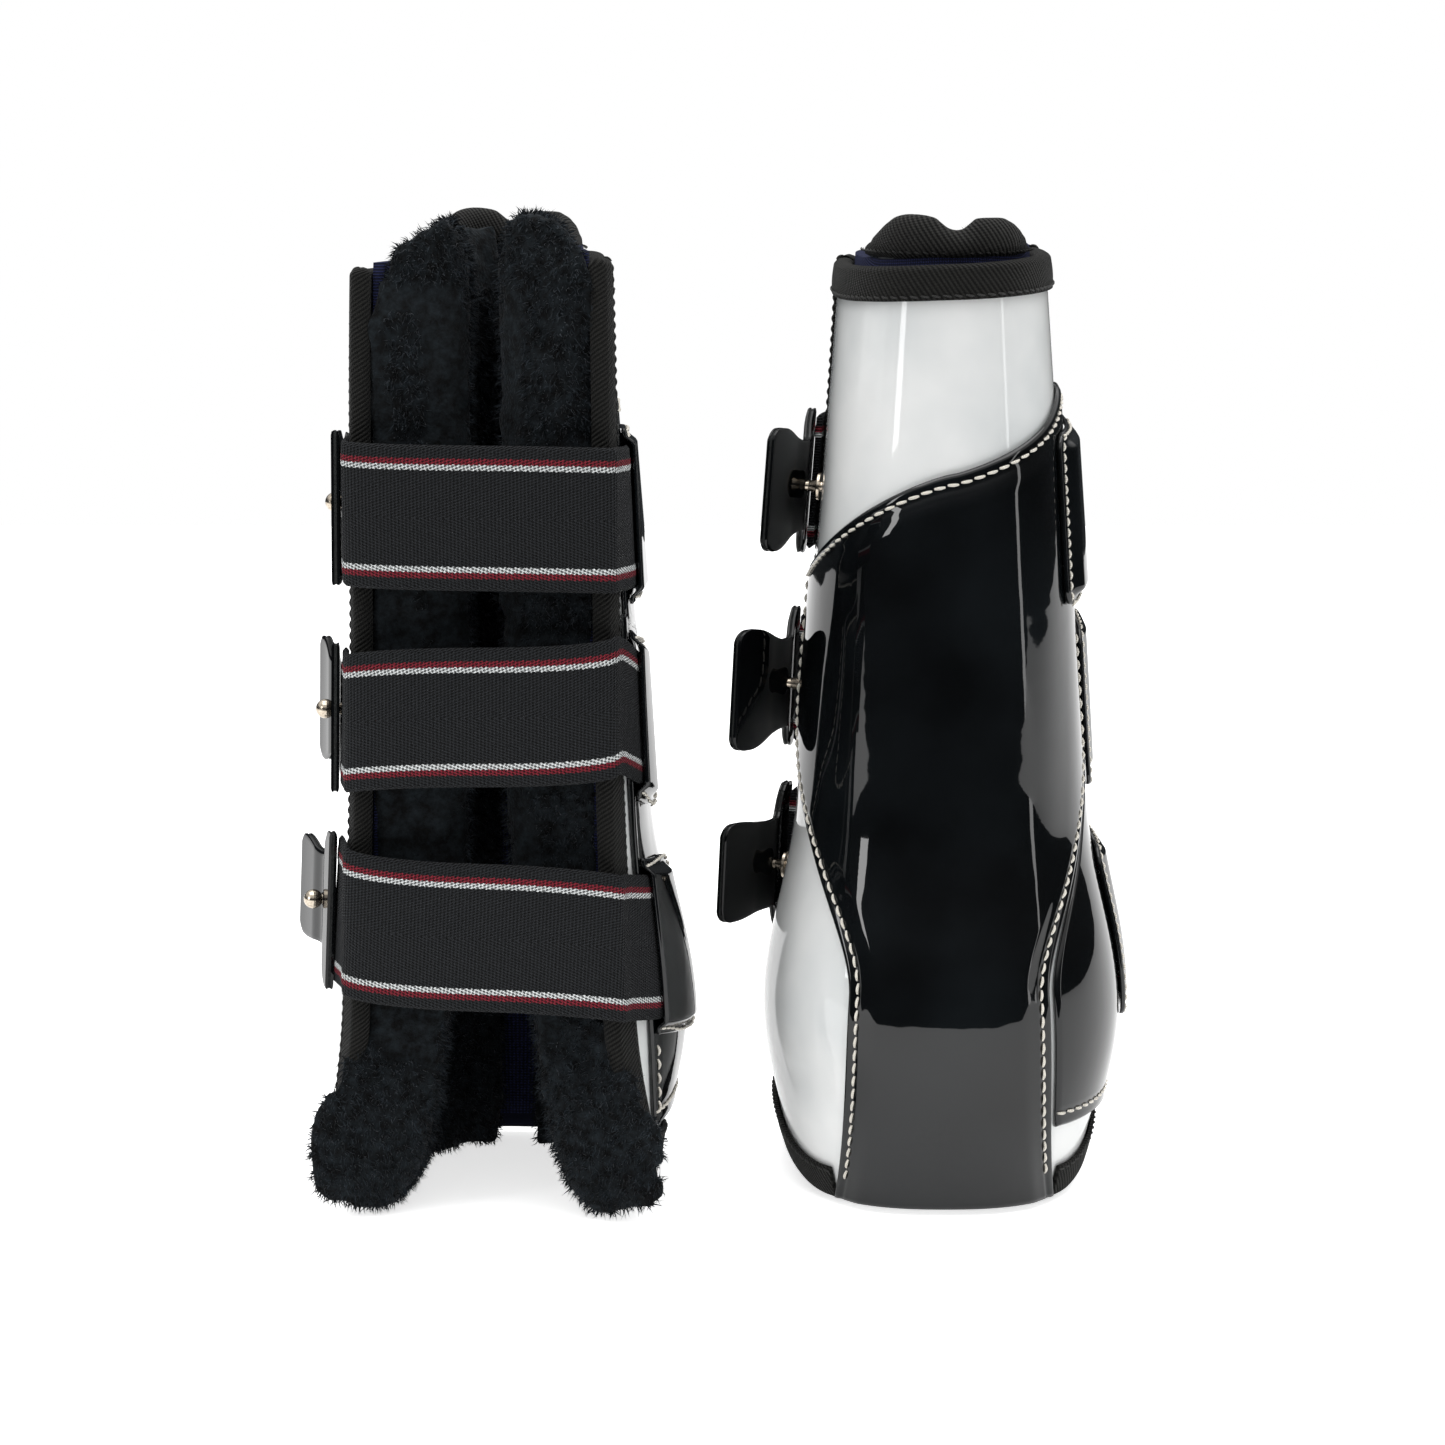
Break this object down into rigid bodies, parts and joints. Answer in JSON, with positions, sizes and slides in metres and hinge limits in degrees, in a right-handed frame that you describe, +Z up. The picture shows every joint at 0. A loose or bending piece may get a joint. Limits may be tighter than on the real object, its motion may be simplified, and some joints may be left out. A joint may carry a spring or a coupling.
{
  "type": "tendon boots",
  "caption": "Mirrored pair of open-fronted horse tendon boots: patent shells with fleece liners, closed by elastic straps on ball studs.",
  "frame": {"origin": "on the ground, at the middle of the pair", "axes": "+Z up the legs, +X from the right boot towards the left boot, -Y the way the right boot's open front faces"},
  "size_m": [0.2395, 0.1131, 0.275],
  "materials": {
    "white_patent": "high-gloss patent",
    "black_patent": "high-gloss patent",
    "twill_tape": "woven twill",
    "neoprene": "matt foam",
    "twill_cover": "woven twill",
    "fleece_pile": "deep pile",
    "hook_tape": "hook tape",
    "elastic": "rib-knit elastic",
    "tab_leather": "coated leather",
    "nickel": "polished nickel",
    "steel_washer": "plain"
  },
  "bodies": {
    "right_boot": {"right_shell": "white_patent", "right_tendon_strip": "black_patent", "right_medial_panel": "black_patent", "right_upper_pocket": "black_patent", "right_middle_pocket": "black_patent", "right_lower_pocket": "black_patent", "right_top_binding": "twill_tape", "right_lateral_binding": "twill_tape", "right_medial_binding": "twill_tape", "right_lateral_hem": "twill_tape", "right_medial_hem": "twill_tape", "right_liner_core": "neoprene", "right_liner_collar": "twill_cover", "right_lateral_pile": "fleece_pile", "right_medial_pile": "fleece_pile", "right_hook_strips": "hook_tape", "right_upper_strap_tail": "elastic", "right_middle_strap_tail": "elastic", "right_lower_strap_tail": "elastic", "right_upper_stud": "nickel", "right_middle_stud": "nickel", "right_lower_stud": "nickel", "right_stud_backs": "steel_washer"},
    "right_upper_closure": {"right_upper_strap": "elastic", "right_upper_tab": "tab_leather"},
    "right_middle_closure": {"right_middle_strap": "elastic", "right_middle_tab": "tab_leather"},
    "right_lower_closure": {"right_lower_strap": "elastic", "right_lower_tab": "tab_leather"},
    "left_boot": {"left_shell": "white_patent", "left_tendon_strip": "black_patent", "left_medial_panel": "black_patent", "left_upper_pocket": "black_patent", "left_middle_pocket": "black_patent", "left_lower_pocket": "black_patent", "left_top_binding": "twill_tape", "left_lateral_binding": "twill_tape", "left_medial_binding": "twill_tape", "left_lateral_hem": "twill_tape", "left_medial_hem": "twill_tape", "left_liner_core": "neoprene", "left_liner_collar": "twill_cover", "left_lateral_pile": "fleece_pile", "left_medial_pile": "fleece_pile", "left_hook_strips": "hook_tape", "left_upper_strap_tail": "elastic", "left_middle_strap_tail": "elastic", "left_lower_strap_tail": "elastic", "left_upper_stud": "nickel", "left_middle_stud": "nickel", "left_lower_stud": "nickel", "left_stud_backs": "steel_washer"},
    "left_upper_closure": {"left_upper_strap": "elastic", "left_upper_tab": "tab_leather"},
    "left_middle_closure": {"left_middle_strap": "elastic", "left_middle_tab": "tab_leather"},
    "left_lower_closure": {"left_lower_strap": "elastic", "left_lower_tab": "tab_leather"}
  },
  "joints": [
    {"name": "left_boot_lifts_off", "type": "slide", "parent": "right_boot", "child": "left_boot", "axis": [0, 0, 1], "range_m": [0, 0.3]},
    {"name": "right_upper_strap_opens", "type": "hinge", "parent": "right_boot", "child": "right_upper_closure", "pos_m": [-0.02856, -0.049, 0.19598], "axis": [0.0006, 0.0172, 0.9999], "range_deg": [0, 120], "deforming": ["right_upper_tab"]},
    {"name": "right_middle_strap_opens", "type": "hinge", "parent": "right_boot", "child": "right_middle_closure", "pos_m": [-0.02837, -0.04987, 0.14593], "axis": [-0.0099, 0.0178, 0.9998], "range_deg": [0, 120], "deforming": ["right_middle_tab"]},
    {"name": "right_lower_strap_opens", "type": "hinge", "parent": "right_boot", "child": "right_lower_closure", "pos_m": [-0.02699, -0.05112, 0.0786], "axis": [-0.0247, 0.0196, 0.9995], "range_deg": [0, 120], "deforming": ["right_lower_tab"]},
    {"name": "left_upper_strap_opens", "type": "hinge", "parent": "left_boot", "child": "left_upper_closure", "pos_m": [0.09521, 0.04655, 0.19598], "axis": [0.0671, 0.017, -0.9976], "range_deg": [0, 120], "deforming": ["left_upper_tab"]},
    {"name": "left_middle_strap_opens", "type": "hinge", "parent": "left_boot", "child": "left_middle_closure", "pos_m": [0.09823, 0.0474, 0.14593], "axis": [0.0504, 0.017, -0.9986], "range_deg": [0, 120], "deforming": ["left_middle_tab"]},
    {"name": "left_lower_strap_opens", "type": "hinge", "parent": "left_boot", "child": "left_lower_closure", "pos_m": [0.10049, 0.04855, 0.0786], "axis": [0.026, 0.0178, -0.9995], "range_deg": [0, 120], "deforming": ["left_lower_tab"]}
  ]
}
